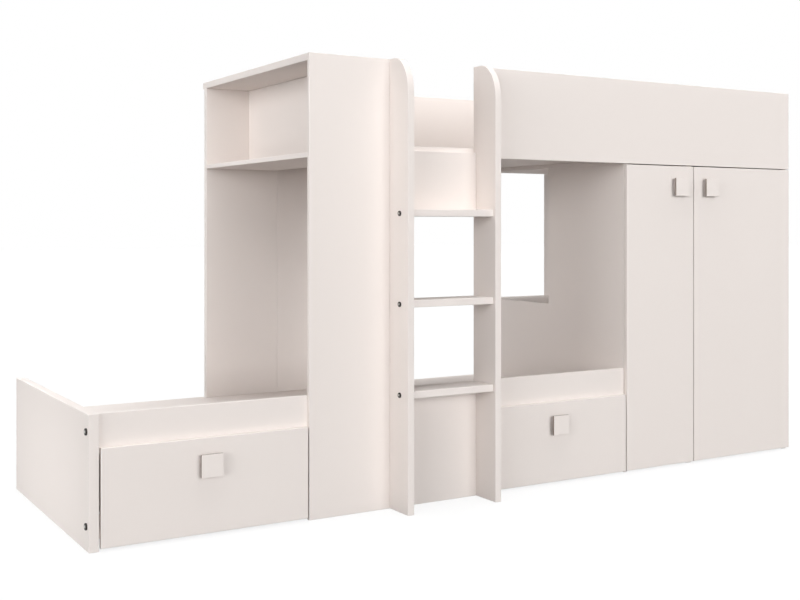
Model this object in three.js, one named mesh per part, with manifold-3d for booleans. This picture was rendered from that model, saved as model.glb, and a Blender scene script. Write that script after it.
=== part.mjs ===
// Loft bed: a low bed below and a high bed above, with a tall shelf unit, a ladder, a wardrobe with
// two doors, an open niche and two drawers. Millimetres, +Z up, front towards -Y.
import * as THREE from "three";
import { mergeVertices } from "three/addons/utils/BufferGeometryUtils.js";
import Module from "manifold-3d";

const wasm = await Module();
wasm.setup();

// Boards
const board = 16;
const thickBoard = 24;
const lowEndThickness = 30;
const backSheet = 3;
const easedEdge = 1;

// Lengths along the bed, from the low end to the wardrobe end
const leftBayWidth = 674;
const tallPanelWidth = 298;
const ladderOpening = 324;
const rightBayWidth = 671;
const wardrobeWidth = 905;
const narrowBayWidth = 314;
const compartmentReach = 177;
const rearLegWidth = 302;

// Depths, from the front plane of the rails and guards to the back
const bodyDepth = 952;
const rearInset = 12;
const cupboardDepth = 455;
const ladderReach = 119;
const stepSetback = 15;

// Heights above the floor
const lowerBaseTop = 278;
const upperBaseTop = 1218;
const guardHeight = 320;
const guardLap = 1;
const shelfClearance = 2;
const sideBoardRise = 122;
const frontRailHeight = 115;
const footRailHeight = 70;
const footRailGap = 34;
const plinthHeight = 40;
const nicheFloorTop = 620;
const cleatDepth = 30;

// Ladder
const firstStepTop = 402;
const stepRise = 300;
const kickLap = 4;
const entryLap = 20;
const railCornerDepth = 93;
const railCornerHeight = 122;

// Doors and drawers: their fronts and the gaps round them
const frontClearance = 2.5;
const drawerSideGap = 5;
const frontFloorGap = 8;
const railShow = 100;
const doorGap = 4;
const doorReveal = 2;

// Drawer boxes
const boxLength = 500;
const boxSide = 12;
const boxFootGap = 4;
const boxTopGap = 12;
const boxBottomSheet = 3;
const boxBottomRise = 10;
const grooveDepth = 5;

// Drawer runners of bent steel with plastic rollers
const runnerSpace = 13;
const runnerWidth = 11;
const runnerHeight = 20;
const runnerSteel = 1.2;
const runnerAxisRise = 14;
const runnerStart = 2;
const rollerLength = 9;
const frontRollerRise = 1;
const rollerSetback = 14;

// Square handles
const handleSize = 70;
const handleProud = 24.5;
const handlePlate = 8;
const handleNeck = 34;
const handleCorner = 3;
const handleEase = 1.2;
const handleDrop = 47;
const handleInset = 45;

// Concealed hinges
const cupRadius = 17.5;
const cupDepth = 12;
const cupEdge = 5;
const cupWall = 1;
const cupFlange = 0.8;
const cupFlangeWidth = 22;
const cupFlangeHeight = 60;
const hingeEndDistance = 100;
const hingePlateSetback = 37;
const hingePlateLength = 36;
const hingePlateBody = 20;
const hingeWingLength = 18;
const hingeWingHeight = 48;
const hingePlate = 3;
const armWidth = 16;
const armHeight = 13;
const armNoseHeight = 9;
const armRearReach = 44;

// Hanging rail: an oval tube in two round sockets
const railHeight = 30;
const railWidth = 15;
const railWall = 1.5;
const railDrop = 70;
const socketRadius = 24;
const socketLength = 12;
const socketWall = 3;

// Fits
const fit = 0.3;
const weld = 0.5;
const overrun = 2;

// Places along the bed
const tallUnitLeft = lowEndThickness + leftBayWidth;
const ladderLeft = tallUnitLeft + tallPanelWidth;
const ladderInnerLeft = ladderLeft + thickBoard;
const ladderInnerRight = ladderInnerLeft + ladderOpening;
const rightBayLeft = ladderInnerRight + thickBoard;
const wardrobeLeft = rightBayLeft + rightBayWidth;
const bedLength = wardrobeLeft + wardrobeWidth;
const tallEndInner = bedLength - thickBoard;
const narrowBayLeft = wardrobeLeft + board;
const dividerLeft = narrowBayLeft + narrowBayWidth;
const wideBayLeft = dividerLeft + thickBoard;
const compartmentBackLeft = tallUnitLeft + compartmentReach;
const upperBaseLeft = compartmentBackLeft + board;
const upperBaseSeam = wardrobeLeft + board / 2;
const rearLegRight = ladderLeft + rearLegWidth;
const wideDoorLeft = wideBayLeft - doorReveal;
const wideDoorRight = bedLength - doorReveal;
const narrowDoorRight = wideDoorLeft - doorGap;

// Places from front to back
const frontBack = board;
const railBack = frontBack + board;
const rearOuter = bodyDepth - rearInset;
const rearInner = rearOuter - thickBoard;
const doorFront = -frontClearance;
const doorBack = doorFront + board;
const cupboardBackFront = frontBack + cupboardDepth;
const nicheFront = cupboardBackFront + board;
const carcassBack = bodyDepth - backSheet;

// Places above the floor
const upperBaseUnder = upperBaseTop - board;
const cleatUnder = upperBaseUnder - board;
const guardBottom = cleatUnder - guardLap;
const bedTop = guardBottom + guardHeight;
const topBoardUnder = bedTop - thickBoard;
const shelfTop = cleatUnder - shelfClearance;
const lowerBaseUnder = lowerBaseTop - board;
const frontRailTop = lowerBaseTop + sideBoardRise;
const footRailTop = footRailGap + footRailHeight;
const drawerFrontTop = frontRailTop - railShow;
const doorTop = guardBottom - doorGap;
const wardrobeFloorTop = plinthHeight + board;
const lastStepTop = firstStepTop + 2 * stepRise;
const cupboardShelfUnder = (nicheFloorTop + cleatUnder - board) / 2;

// Finishes
const whiteBoard = new THREE.MeshStandardMaterial({ color: 0xf2ece6, roughness: 0.55, metalness: 0 });
const whiteInside = new THREE.MeshStandardMaterial({ color: 0xece7e2, roughness: 0.6, metalness: 0 });
const whiteSteel = new THREE.MeshStandardMaterial({ color: 0xe4e2df, roughness: 0.4, metalness: 0.3 });
const nickel = new THREE.MeshStandardMaterial({ color: 0xb9b9b7, roughness: 0.25, metalness: 0.9 });

// The whole bed stands with the middle of its footprint on the origin.
const bed = new THREE.Group();
bed.position.set(-bedLength / 2, -(bodyDepth - ladderReach) / 2, 0);

// A geometry as a manifold solid, and back.
function solid(geometry) {
  const bare = geometry.clone();
  bare.deleteAttribute("normal");
  bare.deleteAttribute("uv");
  const merged = mergeVertices(bare);
  return new wasm.Manifold(
    new wasm.Mesh({
      numProp: 3,
      vertProperties: merged.attributes.position.array,
      triVerts: new Uint32Array(merged.index.array),
    }),
  );
}

function geometryOf(body) {
  const mesh = body.getMesh();
  const indexed = new THREE.BufferGeometry();
  indexed.setAttribute("position", new THREE.BufferAttribute(mesh.vertProperties, mesh.numProp));
  indexed.setIndex(new THREE.BufferAttribute(mesh.triVerts, 1));
  const geometry = indexed.toNonIndexed();
  geometry.computeVertexNormals();
  return geometry;
}

// The turn that lays an extrusion along each axis. The outline is drawn in the other two axes:
// (y, z) for x, (x, z) for y and (x, y) for z.
const diagonal = new THREE.Vector3(1, 1, 1).normalize();
const turns = {
  x: new THREE.Quaternion().setFromAxisAngle(diagonal, (2 * Math.PI) / 3),
  y: new THREE.Quaternion().setFromAxisAngle(new THREE.Vector3(1, 0, 0), Math.PI / 2),
  z: new THREE.Quaternion(),
};

// An outline extruded along an axis between two places, with its rims eased.
function extruded(outline, axis, [from, to], ease = 0, curveSegments = 12) {
  const geometry = new THREE.ExtrudeGeometry(outline, {
    depth: to - from - 2 * ease,
    bevelEnabled: ease > 0,
    bevelThickness: ease,
    bevelSize: ease,
    bevelOffset: -ease,
    bevelSegments: 1,
    curveSegments,
  });
  geometry.translate(0, 0, ease);
  geometry.applyQuaternion(turns[axis]);
  const start = new THREE.Vector3();
  start[axis] = axis === "y" ? to : from;
  return geometry.translate(start.x, start.y, start.z);
}

function polygon(points) {
  return new THREE.Shape(points.map(([across, up]) => new THREE.Vector2(across, up)));
}

function rectangle([left, right], [low, high]) {
  return polygon([[left, low], [right, low], [right, high], [left, high]]);
}

// A rectangle with round corners, about its own middle.
function roundedRectangle(width, height, radius, middleX = 0, middleY = 0) {
  const outline = new THREE.Shape();
  const halfWidth = width / 2 - radius;
  const halfHeight = height / 2 - radius;
  outline.absarc(middleX + halfWidth, middleY - halfHeight, radius, -Math.PI / 2, 0);
  outline.absarc(middleX + halfWidth, middleY + halfHeight, radius, 0, Math.PI / 2);
  outline.absarc(middleX - halfWidth, middleY + halfHeight, radius, Math.PI / 2, Math.PI);
  outline.absarc(middleX - halfWidth, middleY - halfHeight, radius, Math.PI, 1.5 * Math.PI);
  return outline;
}

function disc(middleX, middleY, radius) {
  return new THREE.Shape().absarc(middleX, middleY, radius, 0, 2 * Math.PI);
}

function add(parent, name, geometry, material = whiteBoard) {
  const mesh = new THREE.Mesh(geometry, material);
  mesh.name = name;
  parent.add(mesh);
  return mesh;
}

// A board between two places on each axis. Its thin way is its thickness, and the rims of its
// two broad faces are eased like edge banding.
function boardGeometry(x, y, z, ease = easedEdge) {
  const spans = { x, y, z };
  const widths = { x: x[1] - x[0], y: y[1] - y[0], z: z[1] - z[0] };
  const thin = ["x", "y", "z"].reduce((least, axis) => (widths[axis] < widths[least] ? axis : least));
  const others = ["x", "y", "z"].filter((axis) => axis !== thin);
  return extruded(rectangle(spans[others[0]], spans[others[1]]), thin, spans[thin], ease);
}

function addBoard(parent, name, x, y, z, material = whiteBoard) {
  return add(parent, name, boardGeometry(x, y, z), material);
}

// Low bed: its end panel, rails, partitions and base boards
function makeLowerBed() {
  const low = new THREE.Group();
  const wholeLength = [lowEndThickness, wardrobeLeft];
  const underBase = [0, lowerBaseUnder];
  const rearRail = [0, lowerBaseTop];
  const rear = [rearInner, rearOuter];
  const inside = [railBack, rearInner];
  addBoard(low, "end_panel_left", [0, lowEndThickness], [0, bodyDepth], [0, frontRailTop]);
  const railSpan = [frontRailTop - frontRailHeight, frontRailTop];
  addBoard(low, "front_rail", wholeLength, [frontBack, railBack], railSpan);
  addBoard(low, "lower_front_rail", wholeLength, [frontBack, railBack], [footRailGap, footRailTop]);
  addBoard(low, "rear_rail_left", [lowEndThickness, tallUnitLeft], rear, rearRail);
  addBoard(low, "rear_rail_right", [rearLegRight, wardrobeLeft], rear, rearRail);
  const leftPartition = [tallUnitLeft, tallUnitLeft + board];
  const rightPartition = [rightBayLeft - board, rightBayLeft];
  addBoard(low, "partition_left", leftPartition, inside, underBase, whiteInside);
  addBoard(low, "partition_right", rightPartition, inside, underBase, whiteInside);
  const seams = [lowEndThickness, tallUnitLeft, rightBayLeft - board / 2, wardrobeLeft];
  ["lower_base_left", "lower_base_middle", "lower_base_right"].forEach((name, i) => {
    addBoard(low, name, [seams[i], seams[i + 1]], inside, [lowerBaseUnder, lowerBaseTop]);
  });
  return low;
}

// Tall shelf unit at the head of the high bed, open towards the low end
function makeTallUnit() {
  const tall = new THREE.Group();
  const width = [tallUnitLeft, ladderLeft];
  const rear = [rearInner, rearOuter];
  const inside = [frontBack, rearInner];
  addBoard(tall, "tall_front_panel", width, [0, frontBack], [0, bedTop]);
  addBoard(tall, "tall_back_panel", width, rear, [0, topBoardUnder]);
  addBoard(tall, "rear_leg_panel", [ladderLeft, rearLegRight], rear, [0, cleatUnder]);
  addBoard(tall, "top_board", width, [frontBack, bodyDepth], [topBoardUnder, bedTop]);
  addBoard(tall, "shelf_board", width, inside, [shelfTop - board, shelfTop]);
  const back = [compartmentBackLeft, upperBaseLeft];
  addBoard(tall, "compartment_back", back, inside, [shelfTop, topBoardUnder]);
  return tall;
}

// A ladder rail: a board on edge whose front top corner is a quarter of an ellipse.
function ladderRailOutline() {
  const outline = new THREE.Shape();
  outline.moveTo(-ladderReach, 0);
  outline.lineTo(frontBack, 0);
  outline.lineTo(frontBack, bedTop);
  const cornerY = railCornerDepth - ladderReach;
  const cornerZ = bedTop - railCornerHeight;
  outline.lineTo(cornerY, bedTop);
  outline.absellipse(cornerY, cornerZ, railCornerDepth, railCornerHeight, Math.PI / 2, Math.PI, false);
  return outline;
}

// Ladder with its two rails, three steps, kick board and entry board
function makeLadder() {
  const ladder = new THREE.Group();
  const rail = ladderRailOutline();
  const opening = [ladderInnerLeft, ladderInnerRight];
  add(ladder, "ladder_rail_left", extruded(rail, "x", [ladderLeft, ladderInnerLeft], easedEdge));
  add(ladder, "ladder_rail_right", extruded(rail, "x", [ladderInnerRight, rightBayLeft], easedEdge));
  ["step_low", "step_middle", "step_high"].forEach((name, i) => {
    const top = firstStepTop + i * stepRise;
    addBoard(ladder, name, opening, [stepSetback - ladderReach, 0], [top - thickBoard, top]);
  });
  addBoard(ladder, "kick_board", opening, [0, frontBack], [0, firstStepTop - kickLap]);
  addBoard(ladder, "entry_board", opening, [0, frontBack], [lastStepTop - entryLap, upperBaseUnder]);
  return ladder;
}

// High bed: base boards, the cleats that carry them, guards and the tall end panel
function makeUpperBed() {
  const high = new THREE.Group();
  const baseSpan = [upperBaseUnder, upperBaseTop];
  const inside = [frontBack, rearInner];
  const rear = [rearInner, rearOuter];
  const cleatLength = [upperBaseLeft, wardrobeLeft];
  const cleatSpan = [cleatUnder, upperBaseUnder];
  addBoard(high, "front_guard", [rightBayLeft, bedLength], [0, frontBack], [guardBottom, bedTop]);
  addBoard(high, "rear_guard", [ladderLeft, tallEndInner], rear, [cleatUnder, bedTop]);
  addBoard(high, "end_panel_right", [tallEndInner, bedLength], [frontBack, bodyDepth], [0, bedTop]);
  addBoard(high, "upper_base_left", [upperBaseLeft, upperBaseSeam], inside, baseSpan);
  addBoard(high, "upper_base_right", [upperBaseSeam, tallEndInner], inside, baseSpan);
  const frontCleat = [frontBack, frontBack + cleatDepth];
  const rearCleat = [rearInner - cleatDepth, rearInner];
  addBoard(high, "upper_front_cleat", cleatLength, frontCleat, cleatSpan, whiteInside);
  addBoard(high, "upper_rear_cleat", cleatLength, rearCleat, cleatSpan, whiteInside);
  return high;
}

// The oval hanging rail with a round socket at each end, as one piece.
function hangingRailGeometry() {
  const middleY = (frontBack + carcassBack) / 2;
  const middleZ = cleatUnder - railDrop;
  const straight = (railHeight - railWidth) / 2;
  const ovalOutline = (inset) => {
    const outline = new THREE.Shape();
    const radius = railWidth / 2 - inset;
    outline.absarc(middleY, middleZ + straight, radius, 0, Math.PI);
    outline.absarc(middleY, middleZ - straight, radius, Math.PI, 2 * Math.PI);
    return outline;
  };
  const tube = solid(extruded(ovalOutline(0), "x", [wideBayLeft, tallEndInner]));
  const hollowEnds = [wideBayLeft + socketWall, tallEndInner - socketWall];
  const hollow = solid(extruded(ovalOutline(railWall), "x", hollowEnds));
  const socketOutline = disc(middleY, middleZ, socketRadius);
  const leftSocket = solid(
    extruded(socketOutline, "x", [wideBayLeft, wideBayLeft + socketLength], easedEdge, 16),
  );
  const rightSocket = solid(
    extruded(socketOutline, "x", [tallEndInner - socketLength, tallEndInner], easedEdge, 16),
  );
  // A slot under the tube opens its hollow, as a rolled tube has along its seam.
  const slot = rectangle([middleY - fit, middleY + fit], [middleZ - railHeight, middleZ]);
  const seamEnds = [wideBayLeft + socketLength + overrun, tallEndInner - socketLength - overrun];
  const seam = solid(extruded(slot, "x", seamEnds));
  return geometryOf(tube.add(leftSocket).add(rightSocket).subtract(hollow).subtract(seam));
}

// Wardrobe under the foot of the high bed: a narrow cupboard with an open niche behind it, and
// a wide bay with a hanging rail. The back sheet lies flush with the tall end panel's rear edge.
function makeWardrobe() {
  const wardrobe = new THREE.Group();
  const depth = [frontBack, carcassBack];
  const underBase = [frontBack, rearInner];
  const narrowBay = [narrowBayLeft, dividerLeft];
  const wideBay = [wideBayLeft, tallEndInner];
  const cupboard = [frontBack, cupboardBackFront];
  const floorSpan = [plinthHeight, wardrobeFloorTop];
  const topSpan = [cleatUnder, upperBaseUnder];
  addBoard(wardrobe, "wardrobe_top", [wardrobeLeft, tallEndInner], underBase, topSpan);
  const sideOutline = polygon([
    [frontBack, 0],
    [carcassBack, 0],
    [carcassBack, nicheFloorTop],
    [nicheFront, nicheFloorTop],
    [nicheFront, cleatUnder],
    [frontBack, cleatUnder],
  ]);
  add(wardrobe, "wardrobe_side", extruded(sideOutline, "x", [wardrobeLeft, narrowBayLeft], easedEdge));
  addBoard(wardrobe, "wardrobe_divider", [dividerLeft, wideBayLeft], depth, [0, cleatUnder]);
  addBoard(wardrobe, "niche_shelf", narrowBay, depth, [nicheFloorTop - board, nicheFloorTop]);
  const backSpan = [nicheFloorTop, cleatUnder];
  addBoard(wardrobe, "cupboard_back", narrowBay, [cupboardBackFront, nicheFront], backSpan);
  const shelfSpan = [cupboardShelfUnder, cupboardShelfUnder + board];
  addBoard(wardrobe, "cupboard_shelf", narrowBay, cupboard, shelfSpan, whiteInside);
  addBoard(wardrobe, "cupboard_floor", narrowBay, depth, floorSpan, whiteInside);
  addBoard(wardrobe, "wardrobe_floor", wideBay, depth, floorSpan, whiteInside);
  const sheetStep = (dividerLeft + wideBayLeft) / 2;
  const sheetOutline = polygon([
    [wardrobeLeft, plinthHeight],
    [tallEndInner, plinthHeight],
    [tallEndInner, cleatUnder],
    [sheetStep, cleatUnder],
    [sheetStep, nicheFloorTop],
    [wardrobeLeft, nicheFloorTop],
  ]);
  const sheet = extruded(sheetOutline, "y", [carcassBack, bodyDepth]);
  add(wardrobe, "wardrobe_back", sheet, whiteInside);
  add(wardrobe, "hanging_rail", hangingRailGeometry(), nickel);
  return wardrobe;
}

// A square handle: a plate on a narrower neck, its back at y = 0 and its middle on the y axis.
function handleGeometry() {
  const plateOutline = roundedRectangle(handleSize, handleSize, handleCorner);
  const neckOutline = roundedRectangle(handleNeck, handleNeck, handleCorner);
  const plate = extruded(plateOutline, "y", [-handleProud, handlePlate - handleProud], handleEase, 4);
  const neck = extruded(neckOutline, "y", [handlePlate - handleProud - weld, 0], 0, 4);
  return geometryOf(solid(plate).add(solid(neck)));
}

function addHandle(parent, name, x, front, top) {
  const handle = add(parent, name, handleGeometry());
  handle.position.set(x, front, top - handleDrop - handleSize / 2);
}

// One door, hung at its outer front edge. The group stands on the hinge line, and inward is the
// way from there to the door's free edge: 1 towards +X and -1 towards -X.
function makeDoor(side, hingeX, width, inward) {
  const door = new THREE.Group();
  door.position.set(hingeX, doorFront, 0);
  const across = (near, far) => (inward > 0 ? [near, far] : [-far, -near]);
  let body = solid(boardGeometry(across(0, width), [0, board], [frontFloorGap, doorTop]));
  hingeHeights().forEach((height) => {
    const cupX = inward * (cupEdge + cupRadius);
    const rim = disc(cupX, height, cupRadius + cupWall);
    const earX = cupX + (inward * cupFlangeWidth) / 4;
    const ears = roundedRectangle(cupFlangeWidth, cupFlangeHeight, handleCorner, earX, height);
    const bore = disc(cupX, height, cupRadius - cupWall);
    const flangeSpan = [board - weld, board + cupFlange];
    body = body
      .add(solid(extruded(rim, "y", flangeSpan, 0, 16)))
      .add(solid(extruded(ears, "y", flangeSpan, 0, 3)))
      .subtract(solid(extruded(bore, "y", [board - cupDepth, board + overrun], 0, 16)));
  });
  add(door, `door_${side}`, geometryOf(body));
  const handleX = inward * (width - handleInset - handleSize / 2);
  addHandle(door, `door_${side}_handle`, handleX, 0, doorTop);
  return door;
}

function hingeHeights() {
  return [frontFloorGap + hingeEndDistance, doorTop - hingeEndDistance];
}

// The fixed half of a concealed hinge: a winged plate on the panel, and the arm that reaches
// from it to the floor of the door's cup. The group stands on the panel's face, at its front edge.
function makeHinge(name, faceX, inward, height) {
  const hinge = new THREE.Group();
  hinge.position.set(faceX, frontBack, height);
  const rise = (near, far) => (inward > 0 ? [near, far] : [-far, -near]);
  const middle = hingePlateSetback;
  const body = rectangle(
    [middle - hingePlateLength / 2, middle + hingePlateLength / 2],
    [-hingePlateBody / 2, hingePlateBody / 2],
  );
  const wings = roundedRectangle(hingeWingLength, hingeWingHeight, handleCorner, middle);
  const plate = solid(extruded(body, "x", rise(0, hingePlate))).add(
    solid(extruded(wings, "x", rise(0, hingePlate), 0, 3)),
  );
  const armFront = middle - hingePlateLength / 2;
  const noseTop = armHeight - handleEase;
  const noseUnder = noseTop - armNoseHeight;
  const noseEnd = fit - frontClearance - cupDepth;
  const neckEnd = armFront / 2;
  const arm = new THREE.Shape();
  arm.moveTo(inward * (hingePlate - weld), middle + armRearReach);
  arm.lineTo(inward * armHeight, middle + armRearReach);
  arm.lineTo(inward * armHeight, armFront);
  arm.quadraticCurveTo(inward * armHeight, neckEnd, inward * noseTop, 0);
  arm.lineTo(inward * noseTop, noseEnd);
  arm.lineTo(inward * noseUnder, noseEnd);
  arm.lineTo(inward * noseUnder, 0);
  arm.quadraticCurveTo(inward * noseUnder, neckEnd, inward * (armHeight / 2), armFront);
  arm.lineTo(inward * (hingePlate - weld), armFront);
  arm.closePath();
  const armSpan = [-armWidth / 2, armWidth / 2];
  add(hinge, name, geometryOf(plate.add(solid(extruded(arm, "z", armSpan, 0, 5)))), nickel);
  return hinge;
}

function makeDoors() {
  const doors = new THREE.Group();
  doors.add(makeDoor("left", wardrobeLeft, narrowDoorRight - wardrobeLeft, 1));
  doors.add(makeDoor("right", wideDoorRight, wideDoorRight - wideDoorLeft, -1));
  ["low", "high"].forEach((place, i) => {
    const height = hingeHeights()[i];
    doors.add(makeHinge(`hinge_left_${place}`, narrowBayLeft, 1, height));
    doors.add(makeHinge(`hinge_right_${place}`, tallEndInner, -1, height));
  });
  return doors;
}

// Heights that the drawer box and its runners share
const boxUnder = footRailTop + boxFootGap;
const boxTop = lowerBaseUnder - boxTopGap;
const boxBottomUnder = boxUnder + boxBottomRise;
const runnerAxis = boxUnder + runnerAxisRise;
const frontRollerRadius = runnerHeight / 2 + frontRollerRise;
const rearRollerRadius = runnerHeight / 2 - runnerSteel - fit;
const slideUnder = runnerAxis + frontRollerRadius + fit;
const boxBack = doorBack + boxLength;

// A roller on an axle along X, seated in the steel that carries it.
function roller(x, y, radius) {
  return solid(extruded(disc(y, runnerAxis, radius), "x", x, 0, 12));
}

// One fixed runner: a channel on the wall of the bay with a roller at its front end. Distances
// are measured from the wall, and the across function turns them into places.
function runnerGeometry(across) {
  const start = railBack + runnerStart;
  const low = runnerAxis - runnerHeight / 2;
  const high = runnerAxis + runnerHeight / 2;
  const channelStart = start + 2 * rollerSetback;
  const web = solid(boardGeometry(across(0, runnerSteel), [start, boxBack], [low, high], 0));
  const flange = (z) => solid(boardGeometry(across(0, runnerWidth), [channelStart, boxBack], z, 0));
  const wheelSpan = across(runnerSteel - weld, runnerSteel + rollerLength);
  const wheel = roller(wheelSpan, start + rollerSetback, frontRollerRadius);
  const body = web.add(flange([low, low + runnerSteel])).add(flange([high - runnerSteel, high]));
  return geometryOf(body.add(wheel));
}

// The drawer's own half of a runner: a steel strip under and beside the box's side, bent out at
// the top to ride on the fixed roller, with a roller at its back end inside the channel.
function drawerStrip(across) {
  const webInner = runnerSpace;
  const webOuter = runnerSpace - runnerSteel;
  const lip = webOuter - rollerLength;
  const points = [
    [lip, slideUnder],
    [webOuter, slideUnder],
    [webOuter, boxUnder - runnerSteel],
    [webInner + boxSide, boxUnder - runnerSteel],
    [webInner + boxSide, boxUnder + weld],
    [webInner + weld, boxUnder + weld],
    [webInner + weld, slideUnder + runnerSteel],
    [lip, slideUnder + runnerSteel],
  ];
  const outline = polygon(points.map(([distance, up]) => [across(distance, distance)[0], up]));
  const strip = solid(extruded(outline, "y", [doorBack + runnerStart, boxBack]));
  const wheel = roller(across(lip, webOuter + weld), boxBack - rollerSetback, rearRollerRadius);
  return strip.add(wheel);
}

// One drawer: front, folded sides and back, bottom sheet and handle. The group stands at the
// left wall of its bay.
function makeDrawer(side, bayLeft, bayWidth) {
  const drawer = new THREE.Group();
  drawer.position.x = bayLeft;
  const fromLeft = (near, far) => [near, far];
  const fromRight = (near, far) => [bayWidth - far, bayWidth - near];
  const outer = [runnerSpace, bayWidth - runnerSpace];
  const inner = [outer[0] + boxSide, outer[1] - boxSide];
  const frontX = [drawerSideGap, bayWidth - drawerSideGap];
  addBoard(drawer, `drawer_${side}_front`, frontX, [doorFront, doorBack], [frontFloorGap, drawerFrontTop]);
  const wall = polygon([
    [outer[0], doorBack],
    [inner[0], doorBack],
    [inner[0], boxBack - boxSide],
    [inner[1], boxBack - boxSide],
    [inner[1], doorBack],
    [outer[1], doorBack],
    [outer[1], boxBack],
    [outer[0], boxBack],
  ]);
  const grooveX = [inner[0] - grooveDepth, inner[1] + grooveDepth];
  const grooveY = [doorBack - overrun, boxBack - boxSide + grooveDepth];
  const grooveZ = [boxBottomUnder - fit, boxBottomUnder + boxBottomSheet + fit];
  const box = solid(extruded(wall, "z", [boxUnder, boxTop]))
    .subtract(solid(boardGeometry(grooveX, grooveY, grooveZ, 0)))
    .add(drawerStrip(fromLeft))
    .add(drawerStrip(fromRight));
  add(drawer, `drawer_${side}_box`, geometryOf(box), whiteInside);
  const sheetX = [grooveX[0] + fit, grooveX[1] - fit];
  const sheetY = [doorBack + fit, grooveY[1] - fit];
  const sheetZ = [boxBottomUnder, boxBottomUnder + boxBottomSheet];
  add(drawer, `drawer_${side}_bottom`, boardGeometry(sheetX, sheetY, sheetZ, 0), whiteInside);
  addHandle(drawer, `drawer_${side}_handle`, bayWidth / 2, doorFront, drawerFrontTop);
  add(drawer, `runner_${side}_a`, runnerGeometry(fromLeft), whiteSteel);
  add(drawer, `runner_${side}_b`, runnerGeometry(fromRight), whiteSteel);
  return drawer;
}

bed.add(makeLowerBed());
bed.add(makeTallUnit());
bed.add(makeLadder());
bed.add(makeUpperBed());
bed.add(makeWardrobe());
bed.add(makeDoors());
bed.add(makeDrawer("left", lowEndThickness, leftBayWidth));
bed.add(makeDrawer("right", rightBayLeft, rightBayWidth));

export default bed;
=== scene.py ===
import math

import bpy
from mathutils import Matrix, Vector


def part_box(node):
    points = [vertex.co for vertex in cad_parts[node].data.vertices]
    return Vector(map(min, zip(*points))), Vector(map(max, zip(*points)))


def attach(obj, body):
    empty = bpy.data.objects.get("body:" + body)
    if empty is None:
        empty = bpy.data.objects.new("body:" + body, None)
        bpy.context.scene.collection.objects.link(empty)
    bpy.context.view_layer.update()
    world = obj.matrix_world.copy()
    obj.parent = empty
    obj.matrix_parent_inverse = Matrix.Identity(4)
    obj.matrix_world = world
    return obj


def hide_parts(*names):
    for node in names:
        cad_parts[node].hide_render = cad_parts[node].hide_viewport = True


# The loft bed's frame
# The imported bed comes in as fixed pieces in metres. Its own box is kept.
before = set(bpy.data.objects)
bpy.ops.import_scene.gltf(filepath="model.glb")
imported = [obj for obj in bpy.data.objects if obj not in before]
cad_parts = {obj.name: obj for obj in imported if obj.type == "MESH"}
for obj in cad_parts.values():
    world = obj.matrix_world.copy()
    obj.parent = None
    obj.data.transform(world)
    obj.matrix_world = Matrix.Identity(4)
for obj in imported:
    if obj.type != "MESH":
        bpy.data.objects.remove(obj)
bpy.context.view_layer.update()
bpy.ops.object.select_all(action="DESELECT")


# Studio: floor, white surroundings and lamps
# A wide pale floor that keeps a soft shadow, and white all round for the camera and for
# reflections. Far, broad lamps light the whole bed evenly, and two near ones reach in at the
# low end.
FLOOR_SIDE = 80.0
FLOOR_GREY = 0.12
SEEN_FLOOR_GREY = 0.16
SEEN_FLOOR_GLOW = 0.84
SKY_TINT = (1.0, 0.985, 0.975, 1)
SKY_LEVEL = 0.03
WHITE_LEVEL = 1.0
NEAR_LAMP_WIDTH = 1.2
NEAR_LAMP_HEIGHT = 0.3

bpy.ops.mesh.primitive_plane_add(size=FLOOR_SIDE, location=(0, 0, 0))
floor = bpy.context.object
floor.name = "studio_floor"


def seen_directly(tree):
    """One where a camera, glossy or transmission ray arrives, and nought for the others."""
    path = tree.nodes.new("ShaderNodeLightPath")
    glossy = tree.nodes.new("ShaderNodeMath")
    glossy.operation = "MAXIMUM"
    tree.links.new(path.outputs["Is Camera Ray"], glossy.inputs[0])
    tree.links.new(path.outputs["Is Glossy Ray"], glossy.inputs[1])
    through = tree.nodes.new("ShaderNodeMath")
    through.operation = "MAXIMUM"
    tree.links.new(glossy.outputs[0], through.inputs[0])
    tree.links.new(path.outputs["Is Transmission Ray"], through.inputs[1])
    return through.outputs[0]


def floor_finish():
    """A paint that the camera sees almost white, and that throws little light on the bed."""
    paint = bpy.data.materials.new("studio_floor_paint")
    paint.use_nodes = True
    tree = paint.node_tree
    tree.nodes.clear()
    seen = seen_directly(tree)
    grey = tree.nodes.new("ShaderNodeMix")
    grey.data_type = "RGBA"
    grey.inputs["A"].default_value = (FLOOR_GREY, FLOOR_GREY, FLOOR_GREY, 1)
    grey.inputs["B"].default_value = (SEEN_FLOOR_GREY, SEEN_FLOOR_GREY, SEEN_FLOOR_GREY, 1)
    tree.links.new(seen, grey.inputs["Factor"])
    matt = tree.nodes.new("ShaderNodeBsdfDiffuse")
    tree.links.new(grey.outputs["Result"], matt.inputs["Color"])
    level = tree.nodes.new("ShaderNodeMath")
    level.operation = "MULTIPLY"
    level.inputs[1].default_value = SEEN_FLOOR_GLOW
    tree.links.new(seen, level.inputs[0])
    glow = tree.nodes.new("ShaderNodeEmission")
    tree.links.new(level.outputs[0], glow.inputs["Strength"])
    both = tree.nodes.new("ShaderNodeAddShader")
    tree.links.new(matt.outputs[0], both.inputs[0])
    tree.links.new(glow.outputs[0], both.inputs[1])
    out = tree.nodes.new("ShaderNodeOutputMaterial")
    tree.links.new(both.outputs[0], out.inputs["Surface"])
    return paint


floor.data.materials.append(floor_finish())

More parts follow.
